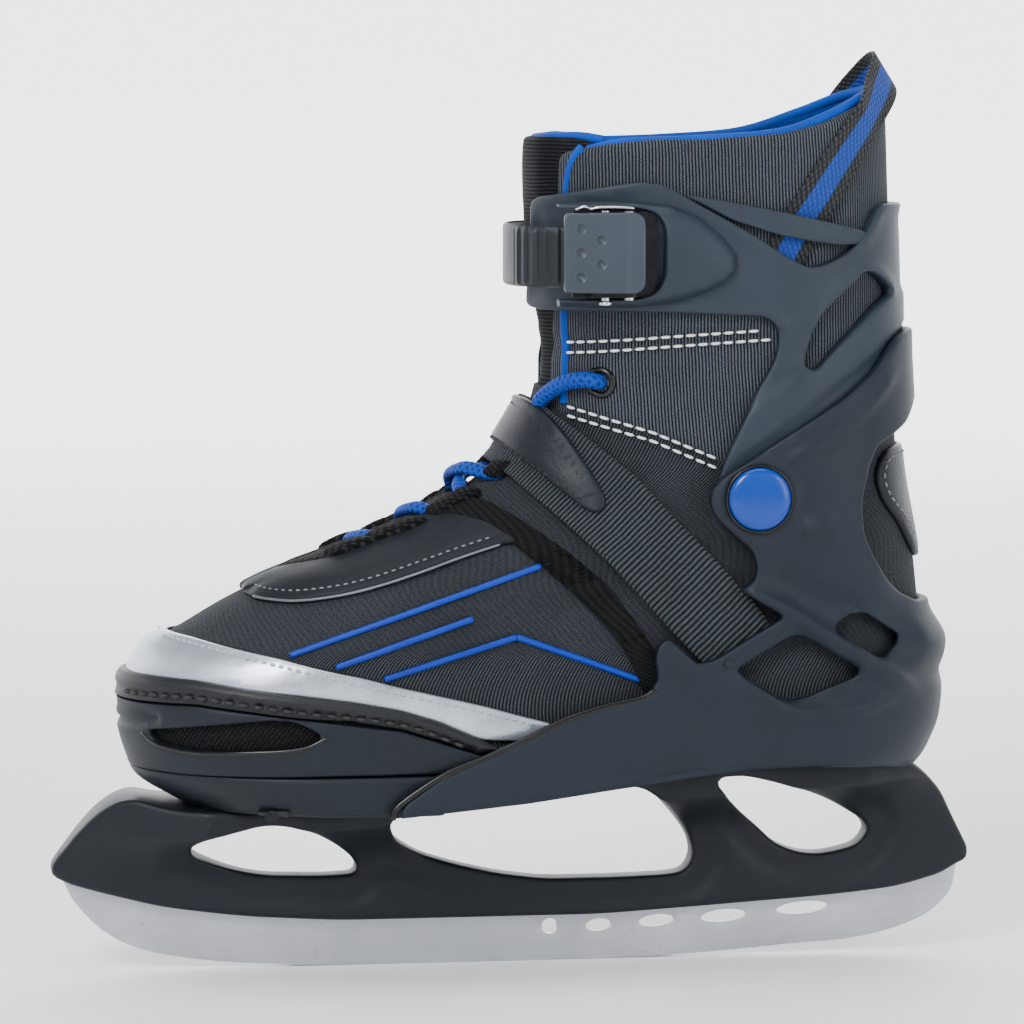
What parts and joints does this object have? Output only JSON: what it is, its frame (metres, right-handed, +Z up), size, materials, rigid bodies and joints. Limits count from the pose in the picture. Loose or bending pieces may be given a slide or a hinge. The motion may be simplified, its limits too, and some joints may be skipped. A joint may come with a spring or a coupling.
{
  "type": "ice skate",
  "caption": "Adjustable ice skate: soft boot in a sliding two-part shell, hinged cuff with ratchet buckle, instep strap, steel blade in a plastic holder.",
  "frame": {"origin": "middle of the blade's flat running edge, at the blade's mid-plane", "axes": "+X towards the heel along the blade, +Y towards the inner side (the buckle is at -Y), +Z up"},
  "size_m": [0.297, 0.1023, 0.2882],
  "materials": {
    "blade": "satin ground steel",
    "holder": "matt moulded nylon",
    "screw_steel": "zinc plated",
    "tray": "matt moulded plastic",
    "shell": "matt moulded plastic, fine grain",
    "board": "pressed fibre board",
    "footbed": "brushed fabric on foam",
    "boot_fabric": "fine ribbed polyester",
    "quarter_fabric": "fine ribbed polyester",
    "tongue_fabric": "knitted polyester",
    "leather_trim": "grained synthetic leather",
    "binding_mesh": "open mesh tape",
    "piping_blue": "woven cord",
    "webbing": "ribbed hook-and-loop webbing",
    "cap_blue": "glossy",
    "button_plastic": "matt",
    "rack_plastic": "matt nylon",
    "welt_rubber": "satin rubber",
    "silver_band": "metallic silver synthetic leather",
    "lace_blue": "braided cord",
    "cuff_plastic": "matt moulded plastic",
    "lining_blue": "smooth lining cloth",
    "eyelet_black": "glossy black",
    "loop_webbing": "woven webbing, blue centre and black edges",
    "buckle_metal": "black plated steel",
    "pin_chrome": "polished",
    "ladder_plastic": "satin nylon",
    "lever_plastic": "satin moulded plastic"
  },
  "bodies": {
    "chassis": {"blade": "blade", "blade_holder": "holder", "holder_screws": "screw_steel", "holder_nuts": "screw_steel", "sole_tray": "tray", "heel_shell": "shell", "lasting_board": "board", "footbed": "footbed", "boot_foot": "boot_fabric", "heel_patch": "leather_trim", "binding_rear": "binding_mesh", "piping_rear": "piping_blue", "instep_strap": "webbing", "strap_patch": "leather_trim", "strap_rivets": "screw_steel", "pivot_rivets": "screw_steel", "pivot_caps": "cap_blue", "button_spring": "screw_steel", "stop_screw": "pin_chrome"},
    "toe": {"toe_shell": "shell", "size_rack": "rack_plastic", "rack_screws": "screw_steel", "toe_welt": "welt_rubber", "toe_band": "silver_band", "boot_toe": "boot_fabric", "vamp_overlay": "leather_trim", "eyestay_binding": "binding_mesh", "piping_front": "piping_blue", "lace_keepers": "binding_mesh", "lace_vamp": "lace_blue"},
    "button": {"size_button": "button_plastic"},
    "cuff": {"cuff": "cuff_plastic", "pivot_washers": "screw_steel", "boot_shaft": "quarter_fabric", "collar_lining": "lining_blue", "tongue": "tongue_fabric", "eyelets": "eyelet_black", "lace_ankle": "lace_blue", "pull_loop": "loop_webbing", "buckle_base": "buckle_metal", "base_rivets": "screw_steel", "lever_pin": "pin_chrome", "pawl_pin": "pin_chrome", "pawl_spring": "screw_steel", "ladder_strap": "ladder_plastic", "ladder_rivet": "screw_steel"},
    "lever": {"buckle_lever": "lever_plastic"},
    "pawl": {"buckle_pawl": "buckle_metal"}
  },
  "joints": [
    {"name": "toe_slide", "type": "slide", "parent": "chassis", "child": "toe", "axis": [-1, 0, 0], "range_m": [0, 0.02]},
    {"name": "button_press", "type": "slide", "parent": "chassis", "child": "button", "axis": [0, -1, 0], "range_m": [0, 0.0025], "stiffness_N_per_m": 600, "deforming": ["button_spring"]},
    {"name": "cuff_flex", "type": "hinge", "parent": "chassis", "child": "cuff", "pos_m": [0.072, 0, 0.152], "axis": [0, -1, 0], "range_deg": [0, 10], "stiffness_Nm_per_rad": 4, "deforming": ["lace_ankle"]},
    {"name": "lever_open", "type": "hinge", "parent": "cuff", "child": "lever", "pos_m": [0.03, -0.0475, 0.228], "axis": [0, 0, 1], "range_deg": [0, 70], "stiffness_Nm_per_rad": 0.05},
    {"name": "pawl_release", "type": "hinge", "parent": "cuff", "child": "pawl", "pos_m": [0.0225, -0.048, 0.228], "axis": [0, 0, 1], "range_deg": [0, 6], "stiffness_Nm_per_rad": 0.05}
  ]
}
